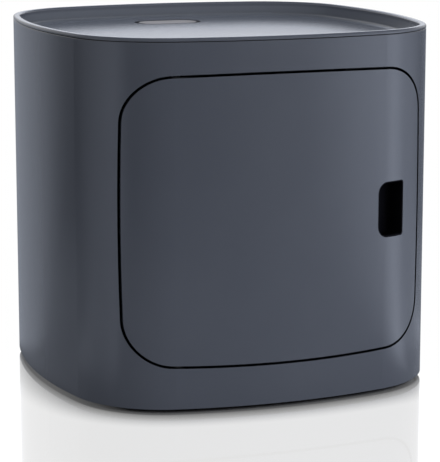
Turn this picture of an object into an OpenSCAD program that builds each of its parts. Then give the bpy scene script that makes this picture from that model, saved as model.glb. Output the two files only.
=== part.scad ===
// Stackable planter module: a rounded-square cabinet with a flush curved door and a lift-off tray top.
// Front is -Y, up is +Z, and the origin is on the floor under the middle of the body.

/* [Body] */
// Width and depth over the middle of the sides
body_w = 350; // [320:1:380]
// Radius of the bulged sides, seen from above
side_r = 441.6; // [400:0.2:520]
// Radius of the corners, seen from above
corner_r = 89; // [75:0.5:100]
// Height from the floor to the top of the rim
body_h = 323; // [310:1:360]
// Thickness of the housing wall
wall = 3.5; // [2.5:0.1:4]
// Height of the housing's lower edge above the floor
foot_gap = 4.6; // [1.5:0.1:6]
// Rounding of the housing's lower outer edge
base_round = 0.6; // [0.4:0.1:3.2]
// Rounding of the housing's upper outer edge
seat_round = 0.8; // [0.3:0.1:1.2]

/* [Tray] */
// Height of the tray's rim above the housing
rim_h = 3.4; // [3:0.1:6]
// Width of the rim, from the outside to the recess
rim_w = 6; // [5.4:0.1:9]
// Rounding of the rim's two upper edges
rim_round = 2; // [1:0.1:2.4]
// Depth of the recess below the rim
tray_depth = 15; // [10:0.5:18]
// Thickness of the tray's floor
tray_floor = 2.5; // [2:0.1:3.5]
// Fillet between the recess wall and its floor
tray_fillet = 4; // [2:0.5:6]
// Gap between the tray's skirt and the housing wall
tray_clearance = 0.4; // [0.3:0.05:0.8]
// Height of the dark line under the rim
shadow_gap = 0.4; // [0.3:0.1:1]
// Depth of the ribs under the tray
tray_rib_h = 4; // [2:0.5:5]

/* [Tray plug] */
// Length of the plug's flange
plug_l = 64; // [50:1:80]
// Width of the plug's flange
plug_w = 38; // [30:1:44]
// Thickness of the plug's flange
plug_t = 1.2; // [0.8:0.1:1.5]
// Distance from the back of the body to the plug's middle
plug_back = 43; // [40:1:60]
// Overlap of the plug's flange on its seat in the tray
plug_lip = 4; // [3:0.5:6]
// Gap around the plug's flange
plug_gap = 0.8; // [0.4:0.1:1.2]
// Gap between the plug's stem and its hole
plug_clearance = 0.2; // [0.1:0.05:0.4]

/* [Door] */
// Distance from the side of the body in to the front opening
opening_side = 34.5; // [32:0.1:40]
// Distance from the top of the rim down to the front opening
opening_drop = 29.9; // [29:0.1:40]
// Height of the opening's lower edge above the floor
opening_z = 39.2; // [38:0.1:44]
// Corner radius of the front opening
opening_r = 41.2; // [38:0.2:46]
// Radius of the opening's four slightly bowed edges
opening_bow = 3200; // [2500:100:6000]
// Gap around the door
door_gap = 2.3; // [1.5:0.1:2.6]
// Thickness of the door's skin
door_skin = 3.5; // [2.5:0.1:4]
// Depth of the door's edge and ribs
door_depth = 10; // [8:0.5:11]
// Thickness of the door's edge and ribs
door_rib = 3; // [2:0.1:4]
// Thickness of the jamb around the opening
jamb_t = 3.5; // [2.5:0.1:4]
// Depth of the jamb behind the outer face
jamb_depth = 14.5; // [13.5:0.5:18]
// How far the stop lip reaches in behind the door
lip_reach = 6.5; // [5.5:0.5:8]
// Thickness of the stop lip
lip_t = 2.5; // [2:0.1:2.8]
// Diameter of the soft buffers on the stop lip
buffer_d = 3.6; // [3:0.1:4]

/* [Finger pull] */
// Width of the cut-out in the door
pull_w = 28; // [24:0.2:32]
// Height of the cut-out in the door
pull_h = 49.4; // [42:0.2:56]
// Distance from the opening's edge to the middle of the cut-out
pull_in = 36.5; // [34:0.1:40]
// Corner radius of the cut-out on the hinge side
pull_r = 10; // [6:0.5:12]
// Corner radius of the cut-out on the closing side
pull_r_small = 2.7; // [2:0.1:4]
// Depth of the finger cup behind the outer face
cup_depth = 24; // [20:1:26]
// Wall of the finger cup
cup_wall = 1.8; // [1.4:0.1:2.4]
// Wall of the cup's neck in the cut-out
neck_wall = 0.8; // [0.6:0.1:1.4]
// How far the cup widens behind the door, for the fingertips
cup_undercut = 9; // [6:1:12]
// Gap between the cup and the cut-out
cup_clearance = 0.2; // [0.1:0.05:0.4]
// Depth of the door's collar around the cup, behind the outer face
collar_depth = 17; // [14:0.5:19]
// Wall of the door's collar around the cup
collar_wall = 2; // [1.6:0.1:2.6]

/* [Hinge] */
// Distance from the opening's edge to the hinge axis
hinge_in = 48.5; // [46:0.1:52]
// Distance from the front of the body back to the hinge axis
hinge_back = 22; // [21:0.5:24]
// Diameter of the hinge pins
pin_d = 5; // [4:0.5:6]
// Radial running clearance of the pins in their bushes
pin_clearance = 0.05; // [0.02:0.01:0.1]
// Wall of the hinge bushes
bush_wall = 1.5; // [1:0.1:2]
// Wall of the door's knuckles around the bushes
knuckle_wall = 2; // [1.6:0.1:2.6]
// Height of the door's knuckles
knuckle_h = 13; // [10:1:18]
// Height of the housing's pin bosses above and below the opening
pin_boss_h = 9; // [7:0.5:9]
// Wall of the housing's pin bosses
pin_boss_wall = 4; // [3:0.5:5]
// Height of the upper pin's head
pin_head_h = 2; // [1.5:0.1:2.4]
// Gap left beside the thrust washer
thrust_gap = 0.1; // [0.05:0.05:0.3]

/* [Catch] */
// Width of the magnetic catch
catch_w = 40; // [36:1:44]
// Height of the magnetic catch
catch_h = 15; // [14:0.5:18]
// Depth of the magnetic catch
catch_d = 20; // [16:1:24]
// Distance from the opening's edge to the middle of the catch
catch_in = 58.5; // [56:0.1:62]
// How far the strike plate stands behind the door's edge
strike_stand = 1.35; // [1:0.05:2]
// Thickness of the pole plates and of the strike plate
plate_t = 1.5; // [1:0.1:2]
// Thickness of the magnet
magnet_t = 4; // [3:0.5:5]
// Width of the magnet and the pole plates
magnet_w = 18; // [14:1:20]
// Gap between the catch and the strike plate
catch_gap = 0.4; // [0.3:0.1:0.8]

/* [Base] */
// Height of the compartment's floor above the ground
floor_z = 10; // [9:0.5:14]
// Thickness of the base panel
base_t = 3; // [2.5:0.1:4]
// Thickness of the ledge that carries the base panel
ledge_t = 3; // [2:0.1:4]
// Width of the ledge, from the outer face
ledge_w = 13; // [12:0.5:16]
// Diameter of the screw bosses
boss_d = 9; // [8:0.5:10]
// Height of the screw bosses above the ledge
boss_h = 13; // [10:1:18]
// How far the screw bosses run into the wall
boss_bite = 0.6; // [0.4:0.1:1]
// Distance from the outer face to the stacking plinth
plinth_in = 15; // [14:0.5:24]
// Thickness of the stacking plinth
plinth_t = 3; // [2:0.5:4]
// Diameter of the foot pads
pad_d = 26; // [20:1:32]
// Height of the foot pads
pad_h = 4; // [3:0.5:5]
// Distance from the sides of the body to the middle of the foot pads
pad_in = 80; // [75:1:95]
// How far the foot pads stand out of the base panel
pad_proud = 1.2; // [0.8:0.1:1.5]
// Thickness of the ribs under the base and the tray
rib_t = 2.5; // [2:0.1:4]
// Gap between the base panel and the housing wall
base_clearance = 0.3; // [0.2:0.05:0.5]

/* [Screws] */
// Diameter of the base screws
base_screw_d = 3.5; // [3:0.1:4]
// Diameter of the catch and strike screws
small_screw_d = 2.5; // [2:0.1:3]
// Height of a screw head
head_h = 1.2; // [1:0.1:1.4]
// Radial gap between a screw or pin and its seat
seat_clearance = 0.02; // [0.01:0.01:0.05]

/* [Hidden] */
$fn = 128;

body_colour = "#484b54";
black_colour = "#101114";
plug_colour = "#b4b4b6";
steel_colour = "#b8babd";

// How far a cutter or a joined shape runs past a face
over = 1;

// Outline from above: each side arc and corner arc share a tangent line
half_w = body_w / 2;
arc_span = side_r - corner_r;
side_off = side_r - half_w;
arc_turn = acos(side_off / (sqrt(2) * arc_span)) - 45;
corner_c = sin(arc_turn) * arc_span;
// A centre is placed to the millimetre, then in this step, then the rest, so that it keeps all its digits
place_step = 0.001;
// A point on the tangent line, well outside the body
far_step = 1.5;
far_x = far_step * (corner_c + side_off) - side_off;
far_y = far_step * corner_c;

// Heights
seat_z = body_h - rim_h;
tray_top_z = body_h - tray_depth;
tray_low_z = tray_top_z - tray_floor;
skirt_in = wall + tray_clearance;
// The plug's top is a hair below the floor of the recess
plug_sink = 0.1;
plug_seat_z = tray_top_z - plug_sink - plug_t;
plug_y = half_w - plug_back;
// The floor plates are a swept border and a square middle, which overlap
border_inner_r = 29;
plate_overlap = 3;
border_w = corner_r - border_inner_r;
middle_half = half_w - border_w + plate_overlap;
plate_z = floor_z - base_t;

// Door, opening and stop
opening_w = body_w - 2 * opening_side;
opening_h = body_h - opening_drop - opening_z;
opening_top = opening_z + opening_h;
opening_mid = opening_z + opening_h / 2;
door_low = opening_z + door_gap;
door_top = opening_top - door_gap;
// Outline of the opening: each bowed edge and corner arc share a tangent line
bow_span = opening_bow - opening_r;
bow_x = opening_bow - opening_w / 2;
bow_z = opening_bow - opening_h / 2;
bow_half = norm([bow_x, bow_z]) / 2;
bow_height = sqrt(bow_span * bow_span - bow_half * bow_half);
bow_corner = [bow_height * bow_z / bow_half - bow_x, bow_height * bow_x / bow_half - bow_z] / 2;
bow_facets = 2048;
stop_from = jamb_depth - lip_t;
// The stop lip is only on the closing side, within this distance of the opening's edge
lip_band = 18.5;
lip_from_x = opening_w / 2 - lip_band;
buffer_x = opening_w / 2 - door_gap - door_rib / 2;
buffer_gap = 0.3;
// Places of the buffers and of the door's ribs, as shares of the opening from its middle
buffer_rows = [-0.3, 0, 0.3];
rib_rows = [-0.25, 0.25];
rib_columns = [-0.17, 0.08];

// Hinge
hinge_x = hinge_in - opening_w / 2;
hinge_y = hinge_back - half_w;
pin_r = pin_d / 2;
bush_bore_r = pin_r + pin_clearance;
bush_r = bush_bore_r + bush_wall;
knuckle_r = bush_r + seat_clearance + knuckle_wall;
pin_boss_r = pin_r + pin_boss_wall;
// The bosses have flat seats, sunk a little below the bowed edges of the opening
hinge_seat_r = pin_boss_r + over;
hinge_seat_sink = 0.3;
hinge_low = opening_z + bow_drop(abs(hinge_x) - hinge_seat_r) - hinge_seat_sink;
hinge_high = opening_top - bow_drop(abs(hinge_x) - hinge_seat_r) + hinge_seat_sink;
knuckle_low = hinge_low + door_gap;
knuckle_high = hinge_high - door_gap;
washer_t = door_gap - thrust_gap;
pin_end_gap = 1;
pin_reach = knuckle_h - pin_end_gap;
pin_head_over = 2;

// Finger pull: the cup's neck ends a little behind the outer face
cup_front = 0.3;
pull_x = opening_w / 2 - pull_in;

// Catch and strike
catch_x = opening_w / 2 - catch_in;
strike_margin = 2;
strike_w = catch_w - 2 * strike_margin;
strike_h = magnet_t + 2 * plate_t + 2 * strike_margin;
strike_y = strike_stand + plate_t - side_x(door_depth, catch_x + strike_w / 2);
catch_y = strike_y + catch_gap;
shelf_front = 8;
shelf_margin = 4;
catch_top = opening_top - bow_drop(catch_x + catch_w / 2 + shelf_margin);
catch_low = catch_top - catch_h;
catch_mid = catch_low + catch_h / 2;
catch_back_wall = 7;
magnet_d = catch_d - catch_back_wall;
pole_proud = 0.2;
catch_screw_in = 5;
catch_screw_back = 12;
catch_screw_x = catch_w / 2 - catch_screw_in;
catch_screw_y = catch_y + catch_screw_back;
strike_screw_in = 3.5;
strike_screw_x = strike_w / 2 - strike_screw_in;
strike_pad_over = 1.5;
// The strike pad starts this deep, and its flat face then cuts it off
strike_pad_deep = 30;
strike_screw_l = 6;

// Screws
head_ratio = 1.9;
// Reach, width and depth of a cross recess, as shares of the head's radius and height
recess_reach = 0.6;
recess_width = 0.28;
recess_depth = 0.6;
small_r = small_screw_d / 2;
small_head_r = small_r * head_ratio;
screw_r = base_screw_d / 2;
screw_head_r = screw_r * head_ratio;
base_head_h = 2.2;

// Base
boss_in = wall + boss_d / 2 - boss_bite;
pad_at = half_w - pad_in;
pad_boss_wall = 2;
pad_boss_r = pad_d / 2 + pad_boss_wall;

// Ribs under the base and the tray: the distance between them, and the gap to the plug
rib_step = 62;
rib_plug_gap = 4;

// Distance from the middle to a point on a side, so far inside the outer face and so far along
function side_x(inset, along) = sqrt(pow(side_r - inset, 2) - along * along) - side_off;

// How far a bowed edge of the opening has drawn in, so far along from its middle
function bow_drop(along) = opening_bow - sqrt(opening_bow * opening_bow - along * along);

// Moves a shape to a point in three steps
module place(at) {
    near = [for (v = at) round(v)];
    step = [for (v = at - near) round(v / place_step) * place_step];
    translate(near)
        translate(step)
            translate(at - near - step)
                children();
}

// The space between two radial lines from the centre of the +X side's arc
module side_wedge() {
    translate([0, 0, -over])
        linear_extrude(body_h + 2 * over)
            polygon([[-side_off, 0], [far_x, -far_y], [far_x, far_y]]);
}

// The space beyond the same line, on the corner's side of it
module past_side() {
    polygon([[-side_off, 0], [far_x, far_y], [far_x, body_w], [-side_off, body_w]]);
}

module corner_wedge() {
    translate([0, 0, -over])
        linear_extrude(body_h + 2 * over)
            intersection() {
                past_side();
                mirror([1, -1])
                    past_side();
            }
}

// Sweeps a profile round one side; x is 0 on the outer face and negative inside it, y is the height
module side_arc(quarter) {
    rotate(90 * quarter)
        intersection() {
            translate([-side_off, 0, 0])
                rotate_extrude()
                    translate([side_r, 0])
                        children();
            side_wedge();
        }
}

module corner_arc(quarter) {
    rotate(90 * quarter)
        intersection() {
            place([corner_c, corner_c, 0])
                rotate_extrude()
                    translate([corner_r, 0])
                        children();
            corner_wedge();
        }
}

module all_round() {
    for (quarter = [0:3]) {
        side_arc(quarter)
            children();
        corner_arc(quarter)
            children();
    }
}

module front_only() {
    side_arc(3)
        children();
    corner_arc(2)
        children();
    corner_arc(3)
        children();
}

// A strip of profile between two distances from the outer face
module band(from, to, low, high) {
    translate([-to, low])
        square([to - from, high - low]);
}

// What a rounding takes off a corner whose solid lies in direction d
module edge_cut(at, d, r) {
    centre = at + r * d;
    outer = at - over * d;
    difference() {
        translate([min(centre.x, outer.x), min(centre.y, outer.y)])
            square(r + over);
        translate(centre)
            circle(r);
    }
}

// Rectangle round the origin with one radius at its left corners and one at its right corners
module rounded_rect(w, h, r_left, r_right) {
    difference() {
        square([w, h], center = true);
        for (end = [-1, 1]) {
            edge_cut([-w / 2, end * h / 2], [1, -end], r_left);
            edge_cut([w / 2, end * h / 2], [-1, -end], r_right);
        }
    }
}

// Extrudes an outline seen from the front, from y0 back to y1
module along_y(y0, y1) {
    translate([0, y1, 0])
        rotate([90, 0, 0])
            linear_extrude(y1 - y0)
                children();
}

module block(low, high) {
    translate(low)
        cube(high - low);
}

// What the rounding takes off the bowed outline in one corner, between the two tangent lines
module bow_cut(side, end, r) {
    upright = [side * bow_corner.x, end * (bow_corner.y + bow_z)] * 2 * r / bow_span;
    level = [side * (bow_corner.x + bow_x), end * bow_corner.y] * 2 * r / bow_span;
    place([side * bow_corner.x, end * bow_corner.y])
        difference() {
            polygon([[0, 0], upright, upright + level, level]);
            circle(r);
        }
}

// Outline of the front opening, made larger by grow
module opening_outline(grow) {
    translate([0, opening_mid])
        difference() {
            intersection() {
                translate([-bow_x, 0])
                    circle(opening_bow + grow, $fn = bow_facets);
                translate([bow_x, 0])
                    circle(opening_bow + grow, $fn = bow_facets);
                translate([0, -bow_z])
                    circle(opening_bow + grow, $fn = bow_facets);
                translate([0, bow_z])
                    circle(opening_bow + grow, $fn = bow_facets);
            }
            for (side = [-1, 1], end = [-1, 1])
                bow_cut(side, end, opening_r + grow);
        }
}

module pull_outline(grow) {
    translate([pull_x, opening_mid])
        rounded_rect(pull_w + 2 * grow, pull_h + 2 * grow, pull_r + grow, pull_r_small + grow);
}

module at_hinge(z) {
    translate([hinge_x, hinge_y, z])
        children();
}

// Two screws near each corner, where its arc meets the side arcs
module base_screw_places() {
    for (quarter = [0:3], turn = [arc_turn, 90 - arc_turn])
        rotate(90 * quarter)
            translate([corner_c, corner_c, 0])
                rotate(turn)
                    translate([corner_r - boss_in, 0, 0])
                        children();
}

module pad_places() {
    for (x = [-1, 1], y = [-1, 1])
        translate([x * pad_at, y * pad_at, 0])
            children();
}

// Cuts a cross into a screw head that stands on z = 0
module cross_recess(head_r, height) {
    reach = head_r * recess_reach;
    width = head_r * recess_width;
    for (turn = [0, 90])
        rotate(turn)
            translate([-reach, -width / 2, -over])
                cube([2 * reach, width, height * recess_depth + over]);
}

module catch_screw_places() {
    for (end = [-1, 1])
        translate([catch_x + end * catch_screw_x, catch_screw_y, 0])
            children();
}

// Housing
module housing_profile() {
    difference() {
        union() {
            band(0, wall, foot_gap, seat_z);
            band(wall - over, ledge_w, floor_z, floor_z + ledge_t);
        }
        edge_cut([0, foot_gap], [-1, 1], base_round);
        edge_cut([0, seat_z], [-1, -1], seat_round);
    }
}

module jamb() {
    intersection() {
        front_only()
            band(wall - over, jamb_depth, opening_z - 2 * jamb_t, opening_top + 2 * jamb_t);
        along_y(-body_w, 0)
            opening_outline(jamb_t);
    }
}

module pin_boss(low, high) {
    at_hinge(low)
        cylinder(h = high - low, r = pin_boss_r);
    intersection() {
        front_only()
            band(wall - over, hinge_back, low, high);
        block([hinge_x - pin_boss_r, -half_w, low], [hinge_x + pin_boss_r, hinge_y, high]);
    }
}

module catch_shelf() {
    block(
        [catch_x - catch_w / 2 - shelf_margin, catch_y - shelf_front, catch_top],
        [catch_x + catch_w / 2 + shelf_margin, catch_y + catch_d + shelf_margin, opening_top + jamb_t]
    );
}

module stop_lip() {
    intersection() {
        corner_arc(3)
            band(stop_from, jamb_depth, opening_z, opening_top);
        along_y(-body_w, 0)
            difference() {
                opening_outline(over);
                opening_outline(-lip_reach);
                translate([lip_from_x - body_w, 0])
                    square([body_w, body_h]);
            }
    }
}

module housing_shell() {
    color(body_colour) {
        difference() {
            union() {
                difference() {
                    union() {
                        all_round()
                            housing_profile();
                        jamb();
                        pin_boss(hinge_low - pin_boss_h, hinge_low + over);
                        pin_boss(hinge_high - over, hinge_high + pin_boss_h);
                        base_screw_places()
                            translate([0, 0, floor_z])
                                cylinder(h = ledge_t + boss_h, d = boss_d);
                    }
                    along_y(-body_w, 0)
                        opening_outline(0);
                }
                catch_shelf();
            }
            at_hinge(hinge_low)
                cylinder(h = hinge_high - hinge_low, r = hinge_seat_r);
            at_hinge(hinge_low - pin_boss_h - over)
                cylinder(h = hinge_high - hinge_low + 2 * pin_boss_h + 2 * over, r = pin_r + seat_clearance);
            base_screw_places()
                translate([0, 0, floor_z - over])
                    cylinder(h = ledge_t + boss_h - over, r = screw_r + seat_clearance);
            catch_screw_places()
                translate([0, 0, catch_top - over])
                    cylinder(h = opening_top - catch_top + jamb_t + 2 * over, r = small_r + seat_clearance);
        }
        stop_lip();
    }
}

// Base
module base_profile() {
    band(wall + base_clearance, border_w, plate_z, floor_z);
    band(plinth_in, plinth_in + plinth_t, pad_proud, plate_z + over);
}

// Three ribs each way; they reach to the stated distance inside the outer face, or to the limit
module cross_ribs(inset, limit, low, high) {
    for (step = [-1:1], turn = [0, 90]) {
        half = min(limit, side_x(inset, step * rib_step));
        rotate(turn)
            translate([-half, step * rib_step - rib_t / 2, low])
                cube([2 * half, rib_t, high - low]);
    }
}

module base_panel() {
    color(body_colour)
        difference() {
            union() {
                all_round()
                    base_profile();
                block([-middle_half, -middle_half, plate_z], [middle_half, middle_half, floor_z]);
                cross_ribs(plinth_in + plinth_t / 2, half_w, pad_proud + over, plate_z + over);
                pad_places()
                    translate([0, 0, pad_proud])
                        cylinder(h = plate_z - pad_proud + over, r = pad_boss_r);
            }
            pad_places()
                cylinder(h = pad_h, d = pad_d + 2 * base_clearance);
            base_screw_places()
                translate([0, 0, plate_z - over])
                    cylinder(h = base_t + 2 * over, r = screw_r + seat_clearance);
        }
}

module base_screws() {
    color(steel_colour)
        base_screw_places()
            translate([0, 0, plate_z - base_head_h])
                difference() {
                    union() {
                        cylinder(h = base_head_h, r = screw_head_r);
                        translate([0, 0, base_head_h - over])
                            cylinder(h = base_t + ledge_t + boss_h - over, r = screw_r);
                    }
                    cross_recess(screw_head_r, base_head_h);
                }
}

module foot_pads() {
    color(black_colour)
        pad_places()
            cylinder(h = pad_h, d = pad_d);
}

// Tray
module tray_profile() {
    difference() {
        band(0, border_w, tray_low_z, body_h);
        band(-over, skirt_in, tray_low_z - over, seat_z);
        band(-over, seat_round + over, seat_z - over, seat_z + shadow_gap);
        difference() {
            band(rim_w, border_w + over, tray_top_z, body_h + over);
            edge_cut([-rim_w, tray_top_z], [-1, 1], tray_fillet);
        }
        edge_cut([0, body_h], [-1, -1], rim_round);
        edge_cut([-rim_w, body_h], [1, -1], rim_round);
    }
}

module plug_outline(grow) {
    r = plug_w / 2 - over + grow;
    translate([0, plug_y])
        rounded_rect(plug_l + 2 * grow, plug_w + 2 * grow, r, r);
}

module top_tray() {
    rib_limit = plug_y - plug_w / 2 - rib_plug_gap;
    color(body_colour)
        difference() {
            union() {
                all_round()
                    tray_profile();
                block([-middle_half, -middle_half, tray_low_z], [middle_half, middle_half, tray_top_z]);
                cross_ribs(skirt_in, rib_limit, tray_low_z - tray_rib_h, tray_low_z + over);
            }
            translate([0, 0, plug_seat_z])
                linear_extrude(plug_t + plug_sink + over)
                    plug_outline(plug_gap);
            translate([0, 0, tray_low_z - over])
                linear_extrude(tray_floor + 2 * over)
                    plug_outline(plug_clearance - plug_lip);
        }
}

module tray_plug() {
    color(plug_colour) {
        translate([0, 0, plug_seat_z])
            linear_extrude(plug_t)
                plug_outline(0);
        translate([0, 0, tray_low_z - over])
            linear_extrude(plug_seat_z - tray_low_z + over + plug_t / 2)
                plug_outline(-plug_lip);
    }
}

// Door
module door_outline(inset) {
    opening_outline(-door_gap - inset);
}

module door_grid() {
    difference() {
        door_outline(0);
        door_outline(door_rib);
    }
    for (row = rib_rows)
        translate([-opening_w / 2 + door_gap + over, opening_mid + row * opening_h - door_rib / 2])
            square([opening_w - 2 * door_gap - 2 * over, door_rib]);
    for (column = rib_columns)
        translate([column * opening_w - door_rib / 2, door_low + over])
            square([door_rib, opening_h - 2 * door_gap - 2 * over]);
}

module knuckle(z) {
    at_hinge(z)
        cylinder(h = knuckle_h, r = knuckle_r);
    intersection() {
        front_only()
            band(door_skin - over, hinge_back, z, z + knuckle_h);
        block([hinge_x - knuckle_r, -half_w, z], [hinge_x + knuckle_r, hinge_y, z + knuckle_h]);
    }
}

module strike_pad() {
    pad_half = strike_w / 2 + strike_pad_over;
    low = catch_mid - strike_h / 2 - strike_pad_over;
    intersection() {
        front_only()
            band(door_skin - over, strike_pad_deep, low, door_top);
        block(
            [catch_x - pad_half, -half_w, low],
            [catch_x + pad_half, strike_y - plate_t, catch_mid + strike_h / 2]
        );
    }
}

module strike_screw_places() {
    for (end = [-1, 1])
        translate([catch_x + end * strike_screw_x, strike_y, catch_mid])
            rotate([90, 0, 0])
                children();
}

module door_panel() {
    color(body_colour)
        difference() {
            union() {
                intersection() {
                    front_only()
                        band(0, door_skin, door_low - over, door_top + over);
                    along_y(-body_w, 0)
                        door_outline(0);
                }
                intersection() {
                    front_only()
                        band(door_skin - over, door_depth, door_low - over, door_top + over);
                    along_y(-body_w, 0)
                        door_grid();
                }
                knuckle(knuckle_low);
                knuckle(knuckle_high - knuckle_h);
                strike_pad();
                cup_shell(door_skin - over, collar_depth)
                    difference() {
                        chamber_outline(cup_clearance + collar_wall);
                        chamber_outline(cup_clearance);
                    }
            }
            at_hinge(knuckle_low - over)
                cylinder(h = knuckle_h + 2 * over, r = bush_r + seat_clearance);
            at_hinge(knuckle_high - knuckle_h - over)
                cylinder(h = knuckle_h + 2 * over, r = bush_r + seat_clearance);
            along_y(-body_w, 0)
                pull_outline(0);
            strike_screw_places()
                cylinder(h = strike_screw_l + over, r = small_r + seat_clearance);
        }
}

// Finger cup: a neck through the skin and a wider chamber behind it
module chamber_outline(grow) {
    translate([pull_x - cup_undercut / 2, opening_mid])
        rounded_rect(
            pull_w + cup_undercut + 2 * cup_wall + 2 * grow, pull_h + 4 * cup_wall + 2 * grow,
            pull_r + grow, pull_r + grow
        );
}

module cup_shell(from, to) {
    intersection() {
        front_only()
            band(from, to, door_low, door_top);
        along_y(-body_w, 0)
            children();
    }
}

module pull_cup() {
    color(black_colour)
        difference() {
            union() {
                cup_shell(cup_front, door_skin + over)
                    pull_outline(-cup_clearance);
                cup_shell(door_skin, cup_depth)
                    chamber_outline(0);
            }
            cup_shell(-over, cup_depth - cup_wall)
                pull_outline(-cup_clearance - neck_wall);
            cup_shell(door_skin + cup_wall, cup_depth - cup_wall)
                chamber_outline(-cup_wall);
        }
}

// Hinge pins, bushes and washer
module hinge_pin_upper() {
    color(steel_colour)
        at_hinge(0) {
            translate([0, 0, knuckle_high - pin_reach])
                cylinder(h = pin_reach + door_gap + pin_boss_h + pin_head_h / 2, r = pin_r);
            translate([0, 0, hinge_high + pin_boss_h])
                cylinder(h = pin_head_h, r = pin_r + pin_head_over);
        }
}

module hinge_pin_lower() {
    color(steel_colour)
        at_hinge(hinge_low - pin_boss_h)
            cylinder(h = pin_boss_h + door_gap + pin_reach, r = pin_r);
}

module hinge_bush(z) {
    at_hinge(z)
        difference() {
            cylinder(h = knuckle_h, r = bush_r);
            translate([0, 0, -over])
                cylinder(h = knuckle_h + 2 * over, r = bush_bore_r);
        }
}

module hinge_bush_upper() {
    color(black_colour)
        hinge_bush(knuckle_high - knuckle_h);
}

module hinge_bush_lower() {
    color(black_colour)
        hinge_bush(knuckle_low);
}

module hinge_washer() {
    color(black_colour)
        at_hinge(hinge_low)
            difference() {
                cylinder(h = washer_t, r = knuckle_r);
                translate([0, 0, -over])
                    cylinder(h = washer_t + 2 * over, r = pin_r + seat_clearance);
            }
}

// Magnetic catch
module catch_pocket(proud) {
    half_h = magnet_t / 2 + plate_t;
    translate([catch_x - magnet_w / 2, catch_y - proud, catch_mid - half_h])
        cube([magnet_w, magnet_d + proud, 2 * half_h]);
}

module catch_body() {
    color(black_colour)
        difference() {
            block(
                [catch_x - catch_w / 2, catch_y, catch_low],
                [catch_x + catch_w / 2, catch_y + catch_d, catch_top]
            );
            catch_pocket(over);
            catch_screw_places() {
                translate([0, 0, catch_low - over])
                    cylinder(h = catch_h + 2 * over, r = small_r + seat_clearance);
                translate([0, 0, catch_low - over])
                    cylinder(h = head_h + over, r = small_head_r + seat_clearance);
            }
        }
}

module catch_magnet() {
    color("#3a3a3c")
        translate([catch_x - magnet_w / 2, catch_y + over, catch_mid - magnet_t / 2])
            cube([magnet_w, magnet_d - over, magnet_t]);
}

module catch_poles() {
    color(steel_colour)
        for (z = [catch_mid - magnet_t / 2 - plate_t, catch_mid + magnet_t / 2])
            translate([catch_x - magnet_w / 2, catch_y - pole_proud, z])
                cube([magnet_w, magnet_d + pole_proud, plate_t]);
}

module catch_screws() {
    color(steel_colour)
        catch_screw_places()
            translate([0, 0, catch_low])
                difference() {
                    union() {
                        cylinder(h = head_h, r = small_head_r);
                        translate([0, 0, head_h / 2])
                            cylinder(h = catch_h + jamb_t - head_h / 2, r = small_r);
                    }
                    cross_recess(small_head_r, head_h);
                }
}

module strike_plate() {
    color(steel_colour)
        difference() {
            block(
                [catch_x - strike_w / 2, strike_y - plate_t, catch_mid - strike_h / 2],
                [catch_x + strike_w / 2, strike_y, catch_mid + strike_h / 2]
            );
            strike_screw_places() {
                translate([0, 0, -over])
                    cylinder(h = plate_t + 2 * over, r = small_r + seat_clearance);
                translate([0, 0, -over])
                    cylinder(h = over + plate_t / 2, r = small_head_r + seat_clearance);
            }
        }
}

module strike_screws() {
    color(steel_colour)
        strike_screw_places()
            difference() {
                union() {
                    cylinder(h = plate_t / 2, r = small_head_r);
                    translate([0, 0, plate_t / 4])
                        cylinder(h = strike_screw_l - plate_t / 4, r = small_r);
                }
                cross_recess(small_head_r, plate_t / 2);
            }
}

module door_buffers() {
    color(black_colour)
        for (row = buffer_rows)
            intersection() {
                corner_arc(3)
                    band(door_depth + buffer_gap, stop_from, opening_z, opening_top);
                translate([buffer_x, 0, opening_mid + row * opening_h])
                    rotate([90, 0, 0])
                        cylinder(h = body_w, d = buffer_d);
            }
}

housing_shell();
base_panel();
base_screws();
foot_pads();
top_tray();
tray_plug();
door_panel();
pull_cup();
hinge_pin_upper();
hinge_pin_lower();
hinge_bush_upper();
hinge_bush_lower();
hinge_washer();
catch_body();
catch_magnet();
catch_poles();
catch_screws();
strike_plate();
strike_screws();
door_buffers();
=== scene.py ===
"""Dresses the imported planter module: camera, light, floor, and a detailed material for every part."""

import math

import bpy
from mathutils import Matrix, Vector


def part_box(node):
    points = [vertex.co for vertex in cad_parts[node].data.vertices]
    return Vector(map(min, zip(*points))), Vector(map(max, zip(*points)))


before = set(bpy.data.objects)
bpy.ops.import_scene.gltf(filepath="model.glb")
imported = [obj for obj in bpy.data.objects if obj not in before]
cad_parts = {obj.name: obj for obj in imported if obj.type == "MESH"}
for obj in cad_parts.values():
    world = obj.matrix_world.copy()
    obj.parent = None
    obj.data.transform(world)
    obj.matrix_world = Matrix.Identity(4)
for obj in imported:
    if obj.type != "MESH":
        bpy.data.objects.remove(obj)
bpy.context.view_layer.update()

# Camera: where the photograph was taken from, in metres and degrees
IMAGE_LONG_SIDE_PX = 462
FOCAL_PX = 2087.0
SENSOR_MM = 36.0
CAMERA_AT = (-0.6685, -1.7922, 0.4946)
CAMERA_AZIMUTH = -20.593
CAMERA_ELEVATION = 10.959
CLIP_START = 0.05
CLIP_END = 100.0

# Colours of the light
COOL = (0.95, 0.98, 1.04)
COLD = (0.93, 1.03, 1.28)

# World: the strength of its light, and the brightness of the backdrop by the sine of the elevation
WORLD_LIGHT = 0.3
BACKDROP = ((0.0, 1.0), (0.32, 1.0), (0.5, 0.15), (1.0, 0.1))

# The lamps face this height on the axis of the object
AIM_HEIGHT = 0.16

# Floor: a white table top, with this share of a mirror image where nothing is near
FLOOR_SIZE = 40.0
FLOOR_COLOUR = (0.85, 0.85, 0.86)
FLOOR_MIRROR = 0.235
FLOOR_ROUGHNESS = 0.05

# Contact shade, by how open the floor is to the sky within this reach: 0 is all mirror image,
# and 1 is the floor where nothing is near
CONTACT_REACH = 0.04
CONTACT_SAMPLES = 32
CONTACT = ((0.07, 0.0), (0.115, 0.09), (0.4, 0.14), (0.5, 0.23), (0.75, 0.57), (1.0, 1.0))
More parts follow.
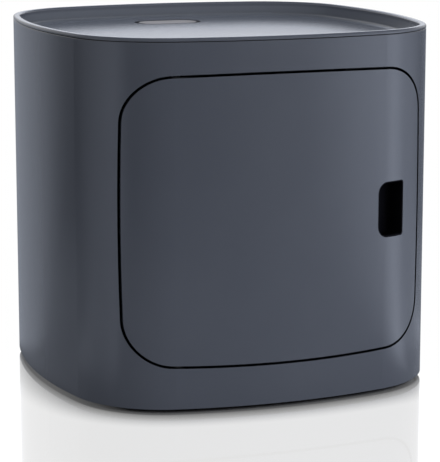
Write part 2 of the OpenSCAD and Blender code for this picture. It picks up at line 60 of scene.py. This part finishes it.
# Where the floor is less open than this, the mirror image is darker too
CONTACT_DARK = 0.12

# On the left, light from behind reaches the floor under the lower edge: it begins at the first X
# and is full at the second
LEAK_SIDE = (-0.13, -0.17)
LEAK_SHARE = 0.15

# Brightness of the table top as the object mirrors it, by azimuth (0 is the front, 90 the right)
TABLE = (
    (-180, 0.5), (-155, 0.6), (-135, 0.0), (-75, 0.9), (-55, 0.0),
    (24, 0.0), (60, 2.6), (75, 1.0), (110, 0.1), (180, 0.5),
)
TABLE_PEAK = 3.0
TABLE_TINT = (0.91, 0.985, 1.15)

# Azimuth and distance are taken from the nearest point of an oblong inside the object's outline:
# half its width, and how far it comes forward of the middle
OUTLINE_SIDE = 0.16
OUTLINE_FRONT = 0.13
# Closer than this, the brightness by azimuth fades out
TABLE_FADE = 0.15

# Least brightness of the table top on every side, which fades out between these distances
GLOW = 0.33
GLOW_REACH = (0.45, 1.1)

# The mirrored table top is darker where the object is within this reach
SHADE_REACH = 0.02
SHADE_SAMPLES = 8

# Colours of the finishes, linear
SLATE = (0.058, 0.064, 0.080)
SLATE_LIGHT = (0.063, 0.069, 0.085)
# Painted light: the paler colour of the tray's recess, where its walls catch more light
RECESS_PAINTED_LIGHT = (0.088, 0.096, 0.114)
BLACK = (0.004, 0.004, 0.006)
BLACK_LIGHT = (0.006, 0.006, 0.009)
PLUG_GREY = (0.215, 0.208, 0.212)
PLUG_LIGHT = (0.245, 0.238, 0.242)
RUBBER = (0.013, 0.013, 0.014)
RUBBER_LIGHT = (0.022, 0.022, 0.023)
ZINC = (0.50, 0.51, 0.53)
ZINC_LIGHT = (0.62, 0.63, 0.64)
ACETAL = (0.010, 0.010, 0.011)
ACETAL_LIGHT = (0.015, 0.015, 0.016)
FERRITE = (0.035, 0.035, 0.037)
FERRITE_LIGHT = (0.06, 0.06, 0.062)

# Every finish: a slow drift between its two shades, and a fine grain in its bump and its gloss
DRIFT_PER_M = 9.0
DRIFT_DETAIL = 3.0
DRIFT_FROM = 0.35
DRIFT_TO = 0.65
GRAIN_DETAIL = 4.0
GRAIN_ROUGHNESS = 0.6
GRAIN_GLOSS = 0.04
BUMP_STRENGTH = 0.5

# Painted shade in narrow gaps: the colour is darkened where little is open around, and this is how fast it
# gets darker
PAINTED_SHADE_POWER = 2.0
PAINTED_SHADE_SAMPLES = 4

# Grain of the slate plastic: its fineness, depth and gloss, and how far the painted shade in its gaps
# reaches
SLATE_GRAIN = {"roughness": 0.25, "grain_per_m": 2600.0, "grain_depth": 0.00002, "painted_shade_reach": 0.005}

# Painted shade round the plug's edge, standing in for the shadow in its gap: its width and the width of
# its soft edge
PLUG_PAINTED_SHADE = 0.0035
PLUG_PAINTED_SHADE_SOFT = 0.0006

# Painted light on the tray, by depth below its rim: the walls and floor of the recess are painted paler,
# as if lit more strongly, and not the rim or the underside
RECESS_PAINTED_LIGHT_BY_DEPTH = ((0.003, 0.0), (0.005, 1.0), (0.0155, 1.0), (0.017, 0.0))
# Faces that look away from the middle of the tray get no painted light; this is well below their distance
# from it
OUTSIDE = 0.05


def direction(azimuth, elevation):
    """Unit vector from the object; azimuth 0 is the front (-Y) and 90 the right (+X)."""
    turn = math.radians(azimuth)
    rise = math.radians(elevation)
    return Vector((math.sin(turn) * math.cos(rise), -math.cos(turn) * math.cos(rise), math.sin(rise)))


def make_camera():
    data = bpy.data.cameras.new("camera")
    data.sensor_width = SENSOR_MM
    data.lens = FOCAL_PX * SENSOR_MM / IMAGE_LONG_SIDE_PX
    data.clip_start = CLIP_START
    data.clip_end = CLIP_END
    camera = bpy.data.objects.new("camera", data)
    bpy.context.scene.collection.objects.link(camera)
    camera.location = CAMERA_AT
    look = -direction(CAMERA_AZIMUTH, CAMERA_ELEVATION)
    camera.rotation_euler = look.to_track_quat("-Z", "Y").to_euler()
    bpy.context.scene.camera = camera


def add_softbox(name, azimuth, elevation, distance, width, height, radiance, colour=COOL, mirrored=False):
    """A rectangular lamp that faces the object, with its brightness as seen head-on.

    Only a mirrored lamp shows as a bright shape in the gloss of what it lights.
    """
    data = bpy.data.lights.new(name, "AREA")
    data.shape = "RECTANGLE"
    data.size = width
    data.size_y = height
    data.energy = radiance * math.pi * width * height
    data.color = colour
    lamp = bpy.data.objects.new(name, data)
    bpy.context.scene.collection.objects.link(lamp)
    towards = direction(azimuth, elevation)
    lamp.location = Vector((0, 0, AIM_HEIGHT)) + towards * distance
    lamp.rotation_euler = towards.to_track_quat("Z", "Y").to_euler()
    lamp.visible_glossy = mirrored


# Helpers for node trees

def feed(tree, socket, value):
    """Links another node's output to a socket, or sets the socket to a plain value."""
    if isinstance(value, bpy.types.NodeSocket):
        tree.links.new(value, socket)
    else:
        socket.default_value = value


def add_node(tree, kind, **values):
    """A node with its input sockets fed by name; other values are the node's own properties."""
    made = tree.nodes.new(kind)
    for name, value in values.items():
        if name in made.inputs:
            feed(tree, made.inputs[name], value)
        else:
            setattr(made, name, value)
    return made


def compute(tree, operation, *inputs):
    """The result of a Math node."""
    made = add_node(tree, "ShaderNodeMath", operation=operation)
    for socket, value in zip(made.inputs, inputs):
        feed(tree, socket, value)
    return made.outputs[0]


def combine(tree, operation, *inputs):
    """A Vector Math node, which also works on colours."""
    made = add_node(tree, "ShaderNodeVectorMath", operation=operation)
    for socket, value in zip(made.inputs, inputs):
        feed(tree, socket, value)
    return made


def scale(tree, colour, factor):
    """A colour times a factor."""
    made = combine(tree, "SCALE", colour)
    feed(tree, made.inputs["Scale"], factor)
    return made.outputs[0]


def map_range(tree, value, low, high, to_low=0.0, to_high=1.0):
    """Maps a value between two limits to a value between two others, and no further."""
    limits = {"From Min": low, "From Max": high, "To Min": to_low, "To Max": to_high}
    return add_node(tree, "ShaderNodeMapRange", Value=value, **limits).outputs["Result"]


def colour_ramp(tree, value, stops):
    """A colour by a value, through (position, colour) pairs."""
    made = add_node(tree, "ShaderNodeValToRGB", Fac=value)
    elements = made.color_ramp.elements
    while len(elements) < len(stops):
        elements.new(1.0)
    for element, (position, colour) in zip(elements, stops):
        element.position = position
        element.color = (*colour, 1)
    return made.outputs["Color"]


def grey_ramp(tree, value, stops):
    """A brightness by a value, through (position, brightness) pairs."""
    return colour_ramp(tree, value, [(position, (grey, grey, grey)) for position, grey in stops])


def openness(tree, reach, samples):
    """How open a place is to what is around it: 1 where nothing is within reach."""
    return add_node(tree, "ShaderNodeAmbientOcclusion", Distance=reach, samples=samples).outputs["AO"]


def flat_vector(tree, x, y):
    """A level vector."""
    return add_node(tree, "ShaderNodeCombineXYZ", X=x, Y=y).outputs[0]


def past_limits(tree, value, low, high):
    """How far a value lies outside two limits, with its sign; 0 between them."""
    nearest = add_node(tree, "ShaderNodeClamp", Value=value, Min=low, Max=high)
    return compute(tree, "SUBTRACT", value, nearest.outputs[0])


def split_place(tree, kind):
    """A kind of texture coordinates as X, Y and Z."""
    place = add_node(tree, "ShaderNodeTexCoord")
    axes = add_node(tree, "ShaderNodeSeparateXYZ", Vector=place.outputs[kind]).outputs
    return axes["X"], axes["Y"], axes["Z"]


def mix_shaders(tree, share, first, second):
    """Two shaders mixed, with this share of the second."""
    mix = add_node(tree, "ShaderNodeMixShader")
    for socket, value in zip(mix.inputs, (share, first, second)):
        feed(tree, socket, value)
    return mix.outputs[0]


def cleared_tree(owner):
    """The node tree of a world or material, with no nodes in it."""
    owner.use_nodes = True
    owner.node_tree.nodes.clear()
    return owner.node_tree


# World and floor

def make_world():
    world = bpy.data.worlds.new("studio")
    bpy.context.scene.world = world
    tree = cleared_tree(world)
    path = add_node(tree, "ShaderNodeLightPath").outputs
    shown = compute(tree, "MAXIMUM", path["Is Camera Ray"], path["Is Glossy Ray"])
    shown = compute(tree, "MAXIMUM", shown, path["Is Transmission Ray"])
    light = add_node(tree, "ShaderNodeBackground", Color=(*COOL, 1), Strength=WORLD_LIGHT)

    # White around the horizon, as a backdrop is, and dark overhead
    rise = split_place(tree, "Generated")[2]
    backdrop = add_node(tree, "ShaderNodeBackground", Color=grey_ramp(tree, rise, BACKDROP), Strength=1.0)
    whole = mix_shaders(tree, shown, light.outputs[0], backdrop.outputs[0])
    add_node(tree, "ShaderNodeOutputWorld", Surface=whole)


def floor_as_seen(tree):
    """White, with a contact shade and a mirror image of the object that is clearest close to it."""
    near = openness(tree, CONTACT_REACH, CONTACT_SAMPLES)
    contact = grey_ramp(tree, near, CONTACT)
    x = split_place(tree, "Object")[0]
    leak = map_range(tree, x, *LEAK_SIDE, to_high=LEAK_SHARE)
    clear = compute(tree, "MAXIMUM", contact, leak)
    mirror = compute(tree, "MULTIPLY_ADD", clear, FLOOR_MIRROR - 1.0, 1.0)
    white = add_node(tree, "ShaderNodeEmission", Strength=1.0)
    dimmed = compute(tree, "MINIMUM", compute(tree, "DIVIDE", near, CONTACT_DARK), 1.0)
    gloss = add_node(tree, "ShaderNodeBsdfGlossy", Color=dimmed, Roughness=FLOOR_ROUGHNESS)
    return mix_shaders(tree, mirror, white.outputs[0], gloss.outputs[0])


def floor_as_mirrored(tree):
    """Brighter and darker parts of the table top, as the object mirrors them."""
    x, y, _ = split_place(tree, "Object")
    aside = past_limits(tree, x, -OUTLINE_SIDE, OUTLINE_SIDE)
    behind = past_limits(tree, y, -OUTLINE_FRONT, 0.0)
    reach = combine(tree, "LENGTH", flat_vector(tree, aside, behind)).outputs["Value"]

    # By azimuth, as a share of a whole turn
    angle = compute(tree, "ARCTAN2", aside, compute(tree, "MULTIPLY", behind, -1.0))
    turn = compute(tree, "MULTIPLY_ADD", angle, 0.5 / math.pi, 0.5)
    stops = []
    for azimuth, brightness in TABLE:
        stops.append((azimuth / 360 + 0.5, [brightness / TABLE_PEAK * tint for tint in TABLE_TINT]))
    around = colour_ramp(tree, turn, stops)
    faded = scale(tree, around, map_range(tree, reach, 0.0, TABLE_FADE))

    glow = map_range(tree, reach, *GLOW_REACH, to_low=GLOW / TABLE_PEAK, to_high=0.0)
    table = combine(tree, "MAXIMUM", faded, scale(tree, TABLE_TINT, glow)).outputs[0]
    shaded = scale(tree, table, openness(tree, SHADE_REACH, SHADE_SAMPLES))
    return add_node(tree, "ShaderNodeEmission", Color=shaded, Strength=TABLE_PEAK).outputs[0]


def make_floor():
    mesh = bpy.data.meshes.new("floor")
    half = FLOOR_SIZE / 2
    corners = [(-half, -half, 0), (half, -half, 0), (half, half, 0), (-half, half, 0)]
    mesh.from_pydata(corners, [], [(0, 1, 2, 3)])
    floor = bpy.data.objects.new("floor", mesh)
    bpy.context.scene.collection.objects.link(floor)
    material = bpy.data.materials.new("pale_floor")
    tree = cleared_tree(material)
    path = add_node(tree, "ShaderNodeLightPath").outputs

    # Other light meets a matt floor
    matt = add_node(tree, "ShaderNodeBsdfDiffuse", Color=(*FLOOR_COLOUR, 1))
    glossy = compute(tree, "MAXIMUM", path["Is Glossy Ray"], path["Is Transmission Ray"])
    unseen = mix_shaders(tree, glossy, matt.outputs[0], floor_as_mirrored(tree))
    whole = mix_shaders(tree, path["Is Camera Ray"], unseen, floor_as_seen(tree))
    add_node(tree, "ShaderNodeOutputMaterial", Surface=whole)
    mesh.materials.append(material)


# Finishes

def plug_painted_shade(tree):
    """Where the oblong plug, which lies along X, has painted shade round its edge, and the colour of that
    shade.
    """
    low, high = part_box("tray_plug")
    radius = (high[1] - low[1]) / 2
    x, y, _ = split_place(tree, "Object")
    along = past_limits(tree, x, low[0] + radius, high[0] - radius)
    across = compute(tree, "SUBTRACT", y, (low[1] + high[1]) / 2)
    reach = combine(tree, "LENGTH", flat_vector(tree, along, across)).outputs["Value"]
    inner = radius - PLUG_PAINTED_SHADE
    return map_range(tree, reach, inner, inner + PLUG_PAINTED_SHADE_SOFT), BLACK


def tray_painted_light(tree):
    """Where the tray's recess is painted paler, as painted light on its walls and floor, and the painted
    colour.
    """
    low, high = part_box("top_tray")
    depth = high[2] - low[2]
    x, y, z = split_place(tree, "Object")
    below = compute(tree, "MULTIPLY_ADD", z, -1 / depth, high[2] / depth)
    share = grey_ramp(tree, below, [(under / depth, amount) for under, amount in RECESS_PAINTED_LIGHT_BY_DEPTH])
    normal = add_node(tree, "ShaderNodeTexCoord").outputs["Normal"]
    outward = combine(tree, "DOT_PRODUCT", flat_vector(tree, x, y), normal).outputs["Value"]
    inside = compute(tree, "LESS_THAN", outward, OUTSIDE)
    return compute(tree, "MULTIPLY", share, inside), RECESS_PAINTED_LIGHT


def moulded(
    name, dark, light, roughness, grain_per_m, grain_depth,
    specular=0.5, metallic=0.0, painted_shade_reach=0.0, overlay=None,
):
    """A finish whose colour drifts between two shades, with a fine grain in its bump and its gloss.

    With a painted shade reach, the colour is painted darker in narrow gaps, as painted shade where little
    light gets in.
    An overlay is a function that says where the finish has another colour, and which; both overlays here
    paint light or shade.
    """
    material = bpy.data.materials.new(name)
    tree = cleared_tree(material)
    place = add_node(tree, "ShaderNodeTexCoord").outputs["Object"]
    drift = add_node(tree, "ShaderNodeTexNoise", Vector=place, Scale=DRIFT_PER_M, Detail=DRIFT_DETAIL)
    grain = add_node(
        tree, "ShaderNodeTexNoise", Vector=place, Scale=grain_per_m,
        Detail=GRAIN_DETAIL, Roughness=GRAIN_ROUGHNESS,
    ).outputs["Fac"]
    colour = colour_ramp(tree, drift.outputs["Fac"], [(DRIFT_FROM, dark), (DRIFT_TO, light)])
    if overlay:
        share, other = overlay(tree)
        mixed = add_node(tree, "ShaderNodeMixRGB", Fac=share, Color1=colour, Color2=(*other, 1))
        colour = mixed.outputs["Color"]
    # Painted shade: the colour gets darker in narrow gaps
    if painted_shade_reach:
        open_share = openness(tree, painted_shade_reach, PAINTED_SHADE_SAMPLES)
        colour = scale(tree, colour, compute(tree, "POWER", open_share, PAINTED_SHADE_POWER))
    gloss = map_range(tree, grain, 0.0, 1.0, roughness - GRAIN_GLOSS, roughness + GRAIN_GLOSS)
    bump = add_node(tree, "ShaderNodeBump", Strength=BUMP_STRENGTH, Distance=grain_depth, Height=grain)
    surface = add_node(tree, "ShaderNodeBsdfPrincipled", Metallic=metallic, Roughness=gloss)
    surface.inputs["Specular IOR Level"].default_value = specular
    feed(tree, surface.inputs["Base Color"], colour)
    feed(tree, surface.inputs["Normal"], bump.outputs["Normal"])
    add_node(tree, "ShaderNodeOutputMaterial", Surface=surface.outputs[0])
    return material


def dress(material, *nodes):
    for node in nodes:
        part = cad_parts[node]
        part.data.materials.clear()
        part.data.materials.append(material)


make_camera()
make_world()
make_floor()
add_softbox("key", azimuth=28, elevation=9, distance=2.2, width=1.6, height=0.9, radiance=5.8)
add_softbox("fill", azimuth=-30, elevation=84, distance=0.8, width=0.4, height=0.2, radiance=18.0)
add_softbox("right", azimuth=62, elevation=14, distance=1.6, width=0.8, height=0.5, radiance=3.4)
add_softbox(
    "back", azimuth=160, elevation=24, distance=1.8, width=1.6, height=0.8, radiance=0.62,
    colour=COLD, mirrored=True,
)

bpy.context.scene.view_settings.view_transform = "Standard"

dress(
    moulded("slate_plastic", SLATE, SLATE_LIGHT, **SLATE_GRAIN),
    "housing_shell", "base_panel", "door_panel",
)
dress(
    # The tray's recess is painted paler, as painted light
    moulded("tray_plastic", SLATE, SLATE_LIGHT, **SLATE_GRAIN, overlay=tray_painted_light),
    "top_tray",
)
dress(
    moulded(
        "black_plastic", BLACK, BLACK_LIGHT, roughness=0.8, grain_per_m=2600.0, grain_depth=0.00002,
        specular=0.1,
    ),
    "pull_cup", "catch_body",
)
dress(
    moulded(
        "plug_plastic", PLUG_GREY, PLUG_LIGHT, roughness=0.7, grain_per_m=1800.0, grain_depth=0.00002,
        # The plug's edge is darkened by painted shade
        specular=0.2, overlay=plug_painted_shade,
    ),
    "tray_plug",
)
dress(
    moulded("black_rubber", RUBBER, RUBBER_LIGHT, roughness=0.75, grain_per_m=1500.0, grain_depth=0.00005),
    "foot_pads", "door_buffers",
)
dress(
    moulded(
        "zinc_steel", ZINC, ZINC_LIGHT, roughness=0.33, grain_per_m=900.0, grain_depth=0.00001,
        # Painted shade darkens the steel's colour in narrow gaps
        metallic=1.0, painted_shade_reach=0.006,
    ),
    "hinge_pin_upper", "hinge_pin_lower", "base_screws", "catch_screws",
    "strike_screws", "strike_plate", "catch_poles",
)
dress(
    moulded("black_acetal", ACETAL, ACETAL_LIGHT, roughness=0.45, grain_per_m=1500.0, grain_depth=0.00001),
    "hinge_bush_upper", "hinge_bush_lower", "hinge_washer",
)
dress(
    moulded("ferrite", FERRITE, FERRITE_LIGHT, roughness=0.6, grain_per_m=1200.0, grain_depth=0.00003),
    "catch_magnet",
)
